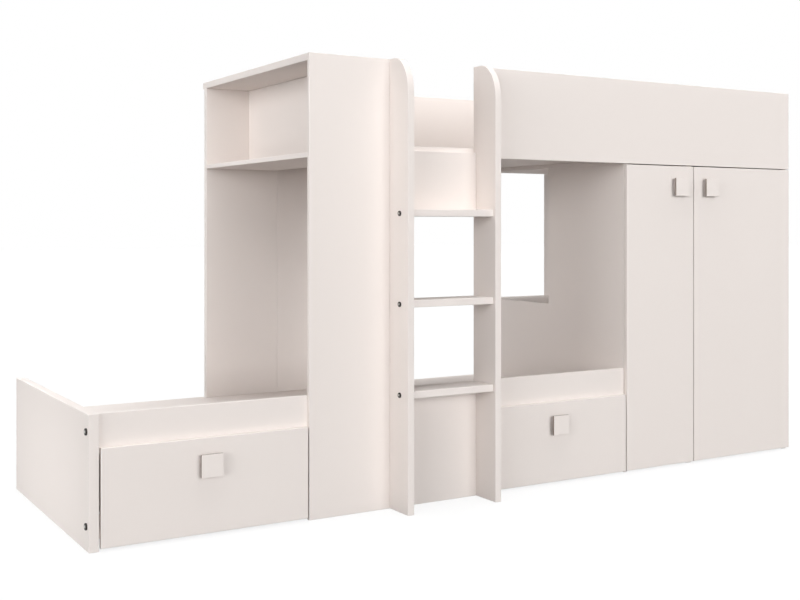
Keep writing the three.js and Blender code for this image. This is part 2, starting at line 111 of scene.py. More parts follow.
world = bpy.data.worlds.new("white_studio")
bpy.context.scene.world = world
world.use_nodes = True
sky = world.node_tree
sky.nodes.clear()
dim = sky.nodes.new("ShaderNodeBackground")
dim.inputs["Color"].default_value = SKY_TINT
dim.inputs["Strength"].default_value = SKY_LEVEL
white = sky.nodes.new("ShaderNodeBackground")
white.inputs["Color"].default_value = (1, 1, 1, 1)
white.inputs["Strength"].default_value = WHITE_LEVEL
choose = sky.nodes.new("ShaderNodeMixShader")
sky.links.new(seen_directly(sky), choose.inputs["Fac"])
sky.links.new(dim.outputs[0], choose.inputs[1])
sky.links.new(white.outputs[0], choose.inputs[2])
sky_out = sky.nodes.new("ShaderNodeOutputWorld")
sky.links.new(choose.outputs[0], sky_out.inputs["Surface"])


def lamp(name, towards, level, spread):
    """A far, broad lamp that shines along a direction, with its spread in degrees."""
    light = bpy.data.lights.new(name, "SUN")
    light.energy = level
    light.angle = math.radians(spread)
    holder = bpy.data.objects.new(name, light)
    bpy.context.collection.objects.link(holder)
    holder.rotation_euler = Vector(towards).to_track_quat("-Z", "Y").to_euler()


lamp("front_lamp", towards=(0.00, 1.00, -0.07), level=2.98, spread=40)
lamp("front_left_lamp", towards=(0.86, 0.50, -0.07), level=1.80, spread=40)
lamp("left_lamp", towards=(0.97, 0.00, -0.16), level=0.45, spread=30)
lamp("right_lamp", towards=(-0.94, 0.00, -0.34), level=1.50, spread=40)
lamp("top_lamp", towards=(0.00, 0.02, -1.00), level=2.25, spread=45)
lamp("rear_lamp", towards=(0.00, -1.00, -0.07), level=1.60, spread=30)


def near_lamp(name, place, towards, power, spread):
    """A wide flat lamp beyond the low end, whose limited beam reaches only part of the bed."""
    light = bpy.data.lights.new(name, "AREA")
    light.energy = power
    light.shape = "RECTANGLE"
    light.size = NEAR_LAMP_WIDTH
    light.size_y = NEAR_LAMP_HEIGHT
    light.spread = math.radians(spread)
    holder = bpy.data.objects.new(name, light)
    bpy.context.collection.objects.link(holder)
    holder.location = place
    holder.rotation_euler = Vector(towards).to_track_quat("-Z", "Y").to_euler()


near_lamp("low_lamp", place=(-3.00, 0.05, 0.16), towards=(1.00, 0.00, 0.00), power=1.7, spread=70)
near_lamp("high_lamp", place=(-3.85, -0.96, 1.36), towards=(0.94, 0.34, 0.00), power=0.6, spread=24)


# Camera
# It stands in front of the low end, a little below the guard, and looks level and at a slant along
# the bed. The lens is shifted and not tilted, so upright edges stay upright.
CAMERA_PLACE = (-2.3817, -3.7544, 0.9511)
CAMERA_TURN = 0.5544
SENSOR_WIDTH = 36.0
PICTURE_WIDTH = 800
PICTURE_HEIGHT = 600
FOCAL_PIXELS = 1147.25
AXIS_COLUMN = 430
AXIS_ROW = 224.47
FAR_CLIP = 200

lens = bpy.data.cameras.new("photo_camera")
lens.sensor_fit = "HORIZONTAL"
lens.sensor_width = SENSOR_WIDTH
lens.lens = FOCAL_PIXELS / PICTURE_WIDTH * SENSOR_WIDTH
lens.shift_x = (PICTURE_WIDTH / 2 - AXIS_COLUMN) / PICTURE_WIDTH
lens.shift_y = (AXIS_ROW - PICTURE_HEIGHT / 2) / PICTURE_WIDTH
lens.clip_end = FAR_CLIP
camera = bpy.data.objects.new("photo_camera", lens)
bpy.context.collection.objects.link(camera)
camera.location = CAMERA_PLACE
camera.rotation_euler = (math.pi / 2, 0, -CAMERA_TURN)
bpy.context.scene.camera = camera
bpy.context.scene.view_settings.view_transform = "Standard"


# White boards
# Every panel is chipboard faced with warm white melamine. The film has a fine pearled grain that
# breaks up the shine, and the taped edges are a little smoother than the faces and carry a painted
# highlight that makes them lighter.
BOARD_WHITE = (0.805, 0.745, 0.711, 1)
BOARD_SHADE = (0.790, 0.728, 0.693, 1)
# Lighter than the face: a painted highlight along the boards' rims.
EDGE_PAINTED_HIGHLIGHT = (0.850, 0.800, 0.772, 1)
BOARD_ROUGHNESS = 0.58
EDGE_ROUGHNESS = 0.46
EDGE_ROUND = 0.0022
MELAMINE_GLOSS = 0.14
PLAIN_GLOSS = 0.5
DRIFT_SCALE = 1.7
DRIFT_DETAIL = 2.0
RIM_STARTS = 0.995
RIM_IS_FULL = 0.90
GRAIN_SIZE = 0.0011
GRAIN_HEIGHT = 0.10
GRAIN_RELIEF = 0.0002
GRAIN_DETAIL = 3.0
GRAIN_CONTRAST = 0.6
GRAIN_ROUGHNESS = 0.04
RIM_SAMPLES = 4


def socket(tree, name, direction, kind, value=None):
    """Adds one named socket to a shader group."""
    made = tree.interface.new_socket(name=name, in_out=direction, socket_type=kind)
    if value is not None:
        made.default_value = value


def board_film():
    """The look of a melamine film: colour, roughness and surface direction."""
    tree = bpy.data.node_groups.new("melamine_film", "ShaderNodeTree")
    socket(tree, "Face Colour", "INPUT", "NodeSocketColor", BOARD_WHITE)
    socket(tree, "Shade Colour", "INPUT", "NodeSocketColor", BOARD_SHADE)
    socket(tree, "Edge Colour", "INPUT", "NodeSocketColor", EDGE_PAINTED_HIGHLIGHT)
    socket(tree, "Grain Size", "INPUT", "NodeSocketFloat", GRAIN_SIZE)
    socket(tree, "Grain Height", "INPUT", "NodeSocketFloat", GRAIN_HEIGHT)
    socket(tree, "Face Roughness", "INPUT", "NodeSocketFloat", BOARD_ROUGHNESS)
    socket(tree, "Edge Roughness", "INPUT", "NodeSocketFloat", EDGE_ROUGHNESS)
    socket(tree, "Edge Radius", "INPUT", "NodeSocketFloat", EDGE_ROUND)
    socket(tree, "Colour", "OUTPUT", "NodeSocketColor")
    socket(tree, "Roughness", "OUTPUT", "NodeSocketFloat")
    socket(tree, "Normal", "OUTPUT", "NodeSocketVector")
    nodes, links = tree.nodes, tree.links
    given = nodes.new("NodeGroupInput")
    made = nodes.new("NodeGroupOutput")
    place = nodes.new("ShaderNodeTexCoord")

    # Slow drift of tone over half a metre or so
    drift = nodes.new("ShaderNodeTexNoise")
    drift.inputs["Scale"].default_value = DRIFT_SCALE
    drift.inputs["Detail"].default_value = DRIFT_DETAIL
    links.new(place.outputs["Object"], drift.inputs["Vector"])
    face = nodes.new("ShaderNodeMix")
    face.data_type = "RGBA"
    links.new(drift.outputs["Fac"], face.inputs["Factor"])
    links.new(given.outputs["Face Colour"], face.inputs["A"])
    links.new(given.outputs["Shade Colour"], face.inputs["B"])

    # Rims: where a rounded copy of the surface turns away from the flat one. The Edge Colour is mixed
    # in there, and on the white finishes it is lighter than the face, a painted highlight along the
    # rims.
    round_rim = nodes.new("ShaderNodeBevel")
    round_rim.samples = RIM_SAMPLES
    links.new(given.outputs["Edge Radius"], round_rim.inputs["Radius"])
    flat = nodes.new("ShaderNodeNewGeometry")
    agree = nodes.new("ShaderNodeVectorMath")
    agree.operation = "DOT_PRODUCT"
    links.new(round_rim.outputs["Normal"], agree.inputs[0])
    links.new(flat.outputs["True Normal"], agree.inputs[1])
    rim = nodes.new("ShaderNodeMapRange")
    rim.inputs["From Min"].default_value = RIM_STARTS
    rim.inputs["From Max"].default_value = RIM_IS_FULL
    links.new(agree.outputs["Value"], rim.inputs["Value"])
    tinted = nodes.new("ShaderNodeMix")
    tinted.data_type = "RGBA"
    links.new(rim.outputs["Result"], tinted.inputs["Factor"])
    links.new(face.outputs["Result"], tinted.inputs["A"])
    links.new(given.outputs["Edge Colour"], tinted.inputs["B"])
    links.new(tinted.outputs["Result"], made.inputs["Colour"])

    # Pearled grain, as fine as Grain Size says
    per_metre = nodes.new("ShaderNodeMath")
    per_metre.operation = "DIVIDE"
    per_metre.inputs[0].default_value = 1
    links.new(given.outputs["Grain Size"], per_metre.inputs[1])
    grain = nodes.new("ShaderNodeTexNoise")
    grain.inputs["Detail"].default_value = GRAIN_DETAIL
    grain.inputs["Roughness"].default_value = GRAIN_CONTRAST
    links.new(place.outputs["Object"], grain.inputs["Vector"])
    links.new(per_metre.outputs[0], grain.inputs["Scale"])
    bump = nodes.new("ShaderNodeBump")
    bump.inputs["Distance"].default_value = GRAIN_RELIEF
    links.new(given.outputs["Grain Height"], bump.inputs["Strength"])
    links.new(grain.outputs["Fac"], bump.inputs["Height"])
    links.new(round_rim.outputs["Normal"], bump.inputs["Normal"])
    links.new(bump.outputs["Normal"], made.inputs["Normal"])

    # Roughness: grain on the faces, smoother tape on the rims
    spread = nodes.new("ShaderNodeMapRange")
    spread.inputs["To Min"].default_value = -GRAIN_ROUGHNESS
    spread.inputs["To Max"].default_value = GRAIN_ROUGHNESS
    links.new(grain.outputs["Fac"], spread.inputs["Value"])
    dull = nodes.new("ShaderNodeMix")
    links.new(rim.outputs["Result"], dull.inputs["Factor"])
    links.new(given.outputs["Face Roughness"], dull.inputs["A"])
    links.new(given.outputs["Edge Roughness"], dull.inputs["B"])
    total = nodes.new("ShaderNodeMath")
    links.new(dull.outputs["Result"], total.inputs[0])
    links.new(spread.outputs["Result"], total.inputs[1])
    links.new(total.outputs[0], made.inputs["Roughness"])
    return tree


melamine_film = board_film()


def surface(name, group, values, gloss=PLAIN_GLOSS):
    """A material that takes colour, roughness and normal from a group set with its own values."""
    finish = bpy.data.materials.new(name)
    finish.use_nodes = True
    tree = finish.node_tree
    shader = tree.nodes["Principled BSDF"]
    shader.inputs["Specular IOR Level"].default_value = gloss
    film = tree.nodes.new("ShaderNodeGroup")
    film.node_tree = group
    for key, value in values.items():
        film.inputs[key].default_value = value
    for output, target in (("Colour", "Base Color"), ("Roughness", "Roughness"), ("Normal", "Normal")):
        tree.links.new(film.outputs[output], shader.inputs[target])
    return finish


def finish_nodes(finish, *names):
    """Gives pieces that stay as packed their material."""
    for name in names:
        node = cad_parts[name]
        node.data.materials.clear()
        node.data.materials.append(finish)


white_melamine = surface("white_melamine", melamine_film, {}, MELAMINE_GLOSS)
finish_nodes(
    white_melamine,
    "end_panel_left", "front_rail", "lower_front_rail", "rear_rail_left", "rear_rail_right",
    "lower_base_left", "lower_base_middle", "lower_base_right",
    "tall_front_panel", "tall_back_panel", "rear_leg_panel", "top_board", "shelf_board",
    "compartment_back", "front_guard", "rear_guard", "end_panel_right", "entry_board", "kick_board",
    "ladder_rail_left", "ladder_rail_right", "step_low", "step_middle", "step_high",
    "upper_base_left", "upper_base_right", "wardrobe_top", "wardrobe_side", "wardrobe_divider",
    "niche_shelf", "cupboard_back", "door_left", "door_right",
    "drawer_left_front", "drawer_right_front",
)


# Inner boards
# Partitions, cleats, the cupboard's shelf and floor, the wardrobe's floor and the drawer boxes are
# faced boards too, in a plainer white with a coarser grain.
INNER_WHITE = (0.800, 0.745, 0.712, 1)
INNER_SHADE = (0.785, 0.728, 0.695, 1)
# Lighter than the inner face: a painted highlight along the rims.
INNER_EDGE_PAINTED_HIGHLIGHT = (0.840, 0.800, 0.765, 1)

inner_melamine = surface("inner_melamine", melamine_film, {
    "Face Colour": INNER_WHITE,
    "Shade Colour": INNER_SHADE,
    "Edge Colour": INNER_EDGE_PAINTED_HIGHLIGHT,
    "Grain Size": 0.0016,
    "Face Roughness": 0.62,
}, MELAMINE_GLOSS)
finish_nodes(
    inner_melamine,
    "partition_left", "partition_right", "upper_front_cleat", "upper_rear_cleat", "cupboard_shelf",
    "cupboard_floor", "wardrobe_floor", "drawer_left_box", "drawer_right_box",
)


# Back sheet and drawer bottoms
# Thin hardboard under a white lacquer. It is smoother than the boards, with the faint ripple of
# the sheet, and its cut edges are brown.
HARDBOARD_WHITE = (0.800, 0.760, 0.725, 1)
HARDBOARD_SHADE = (0.775, 0.735, 0.700, 1)
HARDBOARD_EDGE = (0.52, 0.42, 0.33, 1)
HARDBOARD_GLOSS = 0.30

lacquered_hardboard = surface("lacquered_hardboard", melamine_film, {
    "Face Colour": HARDBOARD_WHITE,
    "Shade Colour": HARDBOARD_SHADE,
    "Edge Colour": HARDBOARD_EDGE,
    "Grain Size": 0.0060,
    "Grain Height": 0.22,
    "Face Roughness": 0.44,
    "Edge Roughness": 0.70,
    "Edge Radius": 0.0004,
}, HARDBOARD_GLOSS)
finish_nodes(lacquered_hardboard, "wardrobe_back", "drawer_left_bottom", "drawer_right_bottom")


# Square handles
# Each handle is a square plate on a narrower square neck. Its face is almost the white of the
# fronts, and its rim, back and neck carry a painted shade, a dark greige that shows as a
# shadowed bar beside the face.
HANDLE_WHITE = (0.815, 0.752, 0.716, 1)
HANDLE_SHADE = (0.800, 0.738, 0.702, 1)
# Lighter than the handle's face: a painted highlight along its rims.
HANDLE_EDGE_PAINTED_HIGHLIGHT = (0.850, 0.800, 0.772, 1)
HANDLE_GLOSS = 0.14
# Painted shade: a dark greige on the rim, back and neck, in place of the shadow behind the plate.
HANDLE_PAINTED_SHADE = (0.290, 0.238, 0.212, 1)
HANDLE_PAINTED_SHADE_DRIFT = (0.260, 0.212, 0.190, 1)
PLATE_DEPTH = 0.008
NECK_SIDE = 0.034
HANDLE_SOFTNESS = 0.0006
SOFT_EDGE_STEPS = 3
FACE_LIMIT = 0.5
SQUARE_TO = 0.9
SHARP_ANGLE = 40
HANDLED_BODIES = ("door_left", "door_right", "drawer_left", "drawer_right")

satin_film = {
    "Grain Size": 0.0006,
    "Grain Height": 0.05,
    "Face Roughness": 0.52,
    "Edge Roughness": 0.44,
    "Edge Radius": 0.0004,
}
satin_white = surface("satin_white_handle", melamine_film, satin_film | {
    "Face Colour": HANDLE_WHITE,
    "Shade Colour": HANDLE_SHADE,
    "Edge Colour": HANDLE_EDGE_PAINTED_HIGHLIGHT,
}, HANDLE_GLOSS)
satin_painted_shade = surface("handle_painted_shade_satin", melamine_film, satin_film | {
    "Face Colour": HANDLE_PAINTED_SHADE,
    "Shade Colour": HANDLE_PAINTED_SHADE_DRIFT,
    "Edge Colour": HANDLE_PAINTED_SHADE,
}, HANDLE_GLOSS)


def edit(piece):
    """Opens one piece for modelling, with nothing selected."""
    bpy.ops.object.select_all(action="DESELECT")
    bpy.context.view_layer.objects.active = piece
    piece.select_set(True)
    bpy.ops.object.mode_set(mode="EDIT")
    bpy.ops.mesh.select_mode(type="FACE")
    bpy.ops.mesh.select_all(action="DESELECT")


def select_faces(piece, test):
    """Selects the faces for which the test holds, by their middle and their normal."""
    bpy.ops.object.mode_set(mode="OBJECT")
    for face in piece.data.polygons:
        face.select = test(face.center, face.normal)
    bpy.ops.object.mode_set(mode="EDIT")


def settle(piece, smooth_angle=SHARP_ANGLE):
    """Puts a finished piece's place into its mesh and shades its soft edges smooth."""
    if bpy.context.mode != "OBJECT":
        bpy.ops.object.mode_set(mode="OBJECT")
    bpy.ops.object.select_all(action="DESELECT")
    bpy.context.view_layer.objects.active = piece
    piece.select_set(True)
    bpy.ops.object.transform_apply(location=True, rotation=True, scale=True)
    bpy.ops.object.shade_smooth_by_angle(angle=math.radians(smooth_angle))
    bpy.ops.object.select_all(action="DESELECT")


def bevel(piece, width, segments):
    """Rounds the sharp edges of a piece."""
    round_off = piece.modifiers.new("round", "BEVEL")
    round_off.width = width
    round_off.segments = segments
    round_off.limit_method = "ANGLE"
    round_off.angle_limit = math.radians(SHARP_ANGLE)
    bpy.context.view_layer.objects.active = piece
    bpy.ops.object.modifier_apply(modifier=round_off.name)


def keep_flats(piece):
    """Lets wide faces shade flat where they meet rounded edges."""
    weigh = piece.modifiers.new("weigh", "WEIGHTED_NORMAL")
    weigh.keep_sharp = True
    bpy.context.view_layer.objects.active = piece
    bpy.ops.object.modifier_apply(modifier=weigh.name)


def model_handle():
    """One handle with its back on y = 0 and its plate towards -Y."""
    low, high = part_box("drawer_left_handle")
    side = high[0] - low[0]
    proud = high[1] - low[1]
    bpy.ops.mesh.primitive_cube_add(size=1, location=(0, PLATE_DEPTH / 2 - proud, 0))
    handle = bpy.context.object
    handle.scale = (side, PLATE_DEPTH, side)
    bpy.ops.object.transform_apply(location=True, rotation=True, scale=True)
    edit(handle)
    select_faces(handle, lambda middle, normal: normal.y > SQUARE_TO)
    bpy.ops.mesh.inset(thickness=(side - NECK_SIDE) / 2)
    bpy.ops.mesh.extrude_region_move(TRANSFORM_OT_translate={"value": (0, proud - PLATE_DEPTH, 0)})
    bpy.ops.object.mode_set(mode="OBJECT")
    bevel(handle, HANDLE_SOFTNESS, SOFT_EDGE_STEPS)
    handle.data.materials.clear()
    handle.data.materials.append(satin_white)
    handle.data.materials.append(satin_painted_shade)
    # Faces not turned to the front take the painted shade.
    for face in handle.data.polygons:
        face.material_index = int(face.normal.y > -FACE_LIMIT)
    return handle


handle_pattern = model_handle()
for body in HANDLED_BODIES:
    node = f"{body}_handle"
    low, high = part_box(node)
    handle = handle_pattern.copy()
    handle.data = handle_pattern.data.copy()
    handle.name = f"{body}_square_handle"
    bpy.context.collection.objects.link(handle)
    handle.location = ((low[0] + high[0]) / 2, high[1], (low[2] + high[2]) / 2)
    settle(handle)
    keep_flats(handle)
    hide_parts(node)
    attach(handle, body)
bpy.data.objects.remove(handle_pattern)


# Nickel fittings
# Hinge arms, the hanging rail and the small screws are nickel-plated steel: bright, with fine
# brushing and a few duller patches.
NICKEL = (0.62, 0.60, 0.57, 1)
NICKEL_DULL = (0.50, 0.485, 0.46, 1)
NICKEL_LEAST_ROUGHNESS = 0.22
NICKEL_MOST_ROUGHNESS = 0.42
PATCH_SCALE = 140
PATCH_DETAIL = 4
BRUSH_SCALE = 2600
BRUSH_HEIGHT = 0.06
BRUSH_RELIEF = 0.0001


def plated_steel():
    """The look of plated steel: colour, roughness and surface direction."""
    tree = bpy.data.node_groups.new("plated_steel", "ShaderNodeTree")
    socket(tree, "Bright", "INPUT", "NodeSocketColor", NICKEL)
    socket(tree, "Dull", "INPUT", "NodeSocketColor", NICKEL_DULL)
    socket(tree, "Least Roughness", "INPUT", "NodeSocketFloat", NICKEL_LEAST_ROUGHNESS)
    socket(tree, "Most Roughness", "INPUT", "NodeSocketFloat", NICKEL_MOST_ROUGHNESS)
    socket(tree, "Colour", "OUTPUT", "NodeSocketColor")
    socket(tree, "Roughness", "OUTPUT", "NodeSocketFloat")
    socket(tree, "Normal", "OUTPUT", "NodeSocketVector")
    nodes, links = tree.nodes, tree.links
    given = nodes.new("NodeGroupInput")
    made = nodes.new("NodeGroupOutput")
    place = nodes.new("ShaderNodeTexCoord")
    patch = nodes.new("ShaderNodeTexNoise")
    patch.inputs["Scale"].default_value = PATCH_SCALE
    patch.inputs["Detail"].default_value = PATCH_DETAIL
    links.new(place.outputs["Object"], patch.inputs["Vector"])
    tone = nodes.new("ShaderNodeMix")
    tone.data_type = "RGBA"
    links.new(patch.outputs["Fac"], tone.inputs["Factor"])
    links.new(given.outputs["Bright"], tone.inputs["A"])
    links.new(given.outputs["Dull"], tone.inputs["B"])
    links.new(tone.outputs["Result"], made.inputs["Colour"])
    rough = nodes.new("ShaderNodeMapRange")
    links.new(patch.outputs["Fac"], rough.inputs["Value"])
    links.new(given.outputs["Least Roughness"], rough.inputs["To Min"])
    links.new(given.outputs["Most Roughness"], rough.inputs["To Max"])
    links.new(rough.outputs["Result"], made.inputs["Roughness"])
    brush = nodes.new("ShaderNodeTexNoise")
    brush.inputs["Scale"].default_value = BRUSH_SCALE
    links.new(place.outputs["Object"], brush.inputs["Vector"])
    bump = nodes.new("ShaderNodeBump")
    bump.inputs["Strength"].default_value = BRUSH_HEIGHT
    bump.inputs["Distance"].default_value = BRUSH_RELIEF
    links.new(brush.outputs["Fac"], bump.inputs["Height"])
    links.new(bump.outputs["Normal"], made.inputs["Normal"])
    return tree


plated = plated_steel()
nickel = surface("nickel_plate", plated, {})
nickel.node_tree.nodes["Principled BSDF"].inputs["Metallic"].default_value = 1.0
finish_nodes(
    nickel,
    "hanging_rail", "hinge_left_low", "hinge_left_high", "hinge_right_low", "hinge_right_high",
)


# Bolts of the low end panel and the ladder
# A flat dark collar with a soft shoulder, and in it a bright plated head with a hexagon socket.
# Two hold the front rails to the low end panel, and three in each ladder rail hold the steps.
COLLAR_BROWN = (0.026, 0.022, 0.019, 1)
COLLAR_BROWN_DULL = (0.016, 0.013, 0.012, 1)
END_BOLT_RADIUS = 0.0105
STEP_BOLT_RADIUS = 0.0088
COLLAR_GLOSS = 0.25
COLLAR_SIDES = 40
COLLAR_WALL_SHARE = 0.38
COLLAR_STEP_SHARES = ((0.07, 0.07), (0.10, 0.04))
PLATED_RADIUS_SHARE = 0.44
PLATED_RISE_SHARE = 0.04
HEXAGON = 6
SOCKET_SHARE = 0.26
SOCKET_DEPTH_SHARE = 0.20
END_BOLT_SHARE = 0.55
STEP_BOLT_SHARE = 0.36
STEP_BOLT_RISE_SHARE = 0.40
HEAD_SHARP_ANGLE = 30

dark_collar = surface("dark_collar", plated, {
    "Bright": COLLAR_BROWN,
    "Dull": COLLAR_BROWN_DULL,
    "Least Roughness": 0.45,
    "Most Roughness": 0.60,
}, COLLAR_GLOSS)


def cut_away(piece, tool):
    """Takes one solid out of another and throws the cutter away."""
    cut = piece.modifiers.new("cut", "BOOLEAN")
    cut.operation = "DIFFERENCE"
    cut.object = tool
    cut.solver = "EXACT"
    bpy.context.view_layer.objects.active = piece
    bpy.ops.object.modifier_apply(modifier=cut.name)
    bpy.data.objects.remove(tool)


def step_in(steps):
    """Insets the selected top face step by step, each time by a width and up by a rise."""
    for width, rise in steps:
        bpy.ops.mesh.inset(thickness=width)
        bpy.ops.transform.translate(value=(0, 0, rise))


def model_bolt_head():
    """A bolt's collar of radius 1 that stands on z = 0, with the plated head in its middle."""
    wall = COLLAR_WALL_SHARE
    bpy.ops.mesh.primitive_cylinder_add(
        vertices=COLLAR_SIDES, radius=1, depth=wall, location=(0, 0, wall / 2))
    head = bpy.context.object
    bpy.ops.object.transform_apply(location=True, rotation=True, scale=True)
    edit(head)
    select_faces(head, lambda middle, normal: normal.z > SQUARE_TO)
    step_in(COLLAR_STEP_SHARES)
    flat_radius = 1 - sum(width for width, rise in COLLAR_STEP_SHARES)
    bpy.ops.mesh.inset(thickness=flat_radius - PLATED_RADIUS_SHARE)
    step_in([(PLATED_RISE_SHARE, PLATED_RISE_SHARE)])
    bpy.ops.object.mode_set(mode="OBJECT")
    top = wall + sum(rise for width, rise in COLLAR_STEP_SHARES) + PLATED_RISE_SHARE
    bpy.ops.mesh.primitive_cylinder_add(
        vertices=HEXAGON, radius=SOCKET_SHARE, depth=2 * SOCKET_DEPTH_SHARE, location=(0, 0, top))
    cut_away(head, bpy.context.object)
    head.data.materials.clear()
    head.data.materials.append(dark_collar)
    head.data.materials.append(nickel)
    for face in head.data.polygons:
        away = math.hypot(face.center.x, face.center.y)
        face.material_index = int(away < PLATED_RADIUS_SHARE and face.center.z > wall / 2)
    return head


def fasten(name, pattern, spots, radius, body):
    """Copies of one head, each set on its face and looking outwards, joined as one piece."""
    bpy.ops.object.select_all(action="DESELECT")
    heads = []
    for place, outward in spots:
        head = pattern.copy()
        head.data = pattern.data.copy()
        bpy.context.collection.objects.link(head)
        head.location = place
        head.rotation_euler = Vector(outward).to_track_quat("Z", "Y").to_euler()
        head.scale = (radius, radius, radius)
        head.select_set(True)
        heads.append(head)
    joined = heads[0]
    bpy.context.view_layer.objects.active = joined
    if len(heads) > 1:
        bpy.ops.object.join()
    settle(joined, HEAD_SHARP_ANGLE)
    joined.name = name
    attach(joined, body)


bolt_pattern = model_bolt_head()
front_rail_low, front_rail_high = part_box("front_rail")
foot_rail_low, foot_rail_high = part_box("lower_front_rail")
end_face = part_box("end_panel_left")[0][0]
bolt_row = (front_rail_low[1] + front_rail_high[1]) / 2
end_bolt_heights = {
    "upper": front_rail_low[2] + (front_rail_high[2] - front_rail_low[2]) * END_BOLT_SHARE,
    "lower": foot_rail_low[2] + (foot_rail_high[2] - foot_rail_low[2]) * END_BOLT_SHARE,
}
for name, height in end_bolt_heights.items():
    spots = [((end_face, bolt_row, height), (-1, 0, 0))]
    fasten(f"end_panel_bolt_{name}", bolt_pattern, spots, END_BOLT_RADIUS, "frame")

rail_faces = {
    "left": (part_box("ladder_rail_left")[0][0], -1),
    "right": (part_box("ladder_rail_right")[1][0], 1),
}
for side, (face_x, way) in rail_faces.items():
    spots = []
    for step in ("low", "middle", "high"):
        low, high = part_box(f"step_{step}")
        bolt_y = low[1] + (high[1] - low[1]) * STEP_BOLT_SHARE
        bolt_z = low[2] + (high[2] - low[2]) * STEP_BOLT_RISE_SHARE
        spots.append(((face_x, bolt_y, bolt_z), (way, 0, 0)))
    fasten(f"ladder_{side}_bolts", bolt_pattern, spots, STEP_BOLT_RADIUS, "frame")
bpy.data.objects.remove(bolt_pattern)


# Hinge screws
# Each hinge plate is held by a cross-head screw in each wing, and the arm carries one screw that
# clamps it and one that sets the door sideways. All are nickel-plated pan heads.
SCREW_SIDES = 20
SCREW_HEIGHT_SHARE = 0.42
SCREW_CROWN_SHARE = 0.14
SCREW_STEP_SHARES = ((0.22, SCREW_CROWN_SHARE), (0.30, SCREW_CROWN_SHARE / 3))
CROSS_LENGTH_SHARE = 1.15
CROSS_WIDTH_SHARE = 0.22
CROSS_DEPTH_SHARE = 0.30
WING_SCREW_RADIUS = 0.0034
ARM_SCREW_RADIUS = 0.0030
WING_SCREW_RISE = 0.017
PLATE_SETBACK = 0.037
PLATE_THICKNESS = 0.003
ARM_SCREW_SETBACKS = {"side": 0.030, "clamp": 0.066}


def model_screw_head():
    """A pan head of radius 1 that stands on z = 0, with a cross cut into its crown."""
    height = SCREW_HEIGHT_SHARE
    bpy.ops.mesh.primitive_cylinder_add(
        vertices=SCREW_SIDES, radius=1, depth=height, location=(0, 0, height / 2))
    head = bpy.context.object
    bpy.ops.object.transform_apply(location=True, rotation=True, scale=True)
    edit(head)
    select_faces(head, lambda middle, normal: normal.z > SQUARE_TO)
    step_in(SCREW_STEP_SHARES)
    bpy.ops.object.mode_set(mode="OBJECT")
    top = height + SCREW_CROWN_SHARE
    slot_size = (CROSS_LENGTH_SHARE, CROSS_WIDTH_SHARE)
    for along, across in (slot_size, slot_size[::-1]):
        bpy.ops.mesh.primitive_cube_add(size=1, location=(0, 0, top))
        key = bpy.context.object
        key.scale = (along, across, 2 * CROSS_DEPTH_SHARE)
        cut_away(head, key)
    head.data.materials.append(nickel)
    return head


screw_pattern = model_screw_head()
carcass_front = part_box("wardrobe_divider")[0][1]
for side, panel_side, way in (("left", 0, 1), ("right", 1, -1)):
    for place in ("low", "high"):
        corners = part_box(f"hinge_{side}_{place}")
        panel_x = corners[panel_side][0]
        arm_top = corners[1 - panel_side][0]
        middle_z = (corners[0][2] + corners[1][2]) / 2
        plate_top = panel_x + way * PLATE_THICKNESS
        wing_y = carcass_front + PLATE_SETBACK
        spots = [((plate_top, wing_y, middle_z + rise), (way, 0, 0))
                 for rise in (-WING_SCREW_RISE, WING_SCREW_RISE)]
        name = f"hinge_{side}_{place}_wing_screws"
        fasten(name, screw_pattern, spots, WING_SCREW_RADIUS, "frame")
        spots = [((arm_top, carcass_front + setback, middle_z), (way, 0, 0))
                 for setback in ARM_SCREW_SETBACKS.values()]
        name = f"hinge_{side}_{place}_arm_screws"
        fasten(name, screw_pattern, spots, ARM_SCREW_RADIUS, "frame")


# Hinge cups
# A pressed nickel-plated pot sits in each bore of a door. Its flange lies on the door's inner
# face with an ear above and below, and a screw holds each ear.
POT_SIDES = 64
POT_RADIUS = 0.01642
POT_WALL = 0.0002
POT_DEPTH = 0.01272
RIM_RADIUS = 0.0182
FLANGE_THICKNESS = 0.0004
EAR_WIDTH = 0.021
EAR_HEIGHT = 0.059
EAR_SHIFT = 0.0055
EAR_CORNER = 0.0028
EAR_CORNER_STEPS = 5
CUP_INSET = 0.0225
CUP_SCREW_RISE = 0.0238


